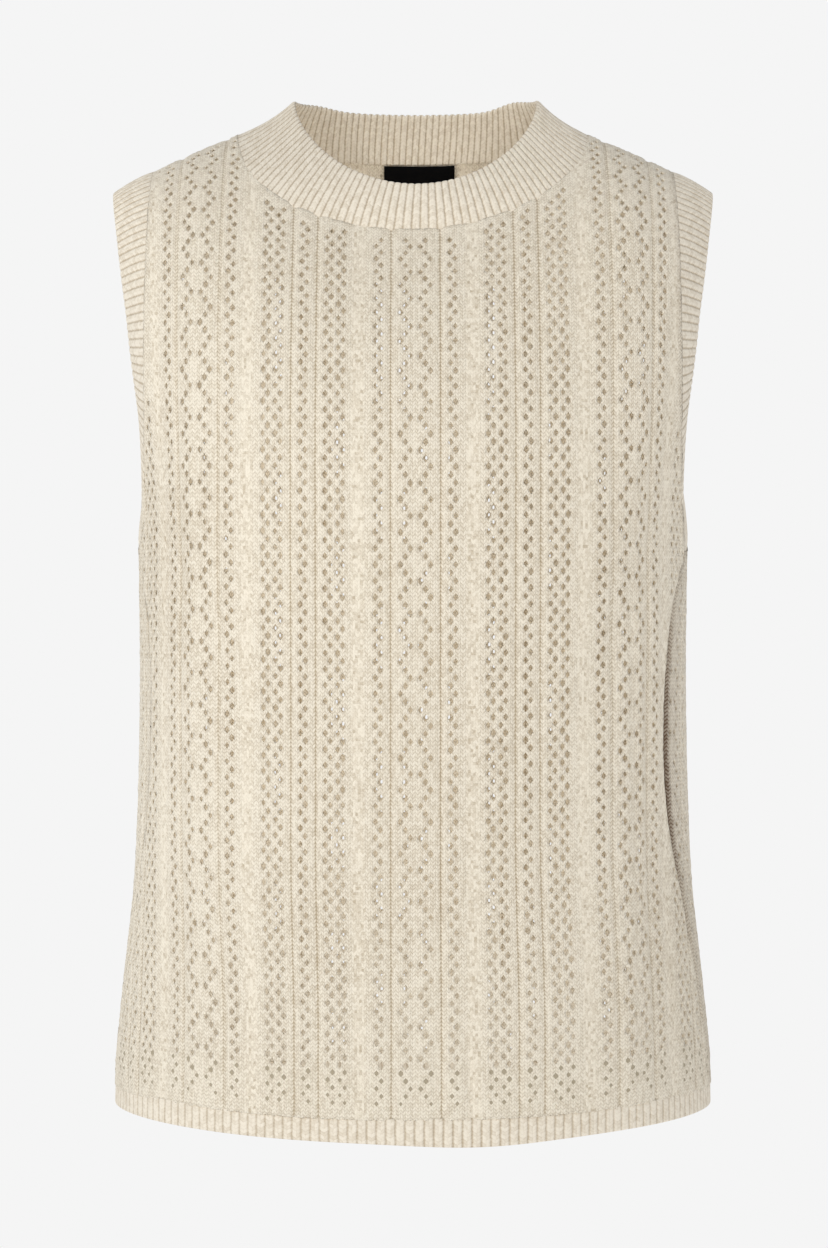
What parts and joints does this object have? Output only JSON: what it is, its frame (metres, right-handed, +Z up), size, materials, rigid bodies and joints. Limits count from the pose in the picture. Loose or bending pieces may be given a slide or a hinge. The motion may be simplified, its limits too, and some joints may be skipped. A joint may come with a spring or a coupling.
{
  "type": "sleeveless knit top",
  "caption": "Hollow sleeveless pointelle knit top with a ribbed crew neckband, ribbed armhole bands, a ribbed hem and a blank neck label.",
  "frame": {"origin": "on the centre line at the height of the shoulders, midway between front and back, where a hanger or a stand holds the top", "axes": "+X to the right as seen from the front, +Z up, front faces -Y"},
  "size_m": [0.3366, 0.2304, 0.5656],
  "materials": {
    "lace_knit": "matte cream cotton lace knit",
    "rib_knit": "matte cream cotton rib knit",
    "woven_label": "matte black woven tape"
  },
  "bodies": {
    "root": {"front_panel": "lace_knit", "back_panel": "lace_knit", "neckband": "rib_knit", "armhole_band_left": "rib_knit", "armhole_band_right": "rib_knit", "hem_band_front": "rib_knit", "hem_band_back": "rib_knit", "neck_label": "woven_label"}
  },
  "joints": []
}
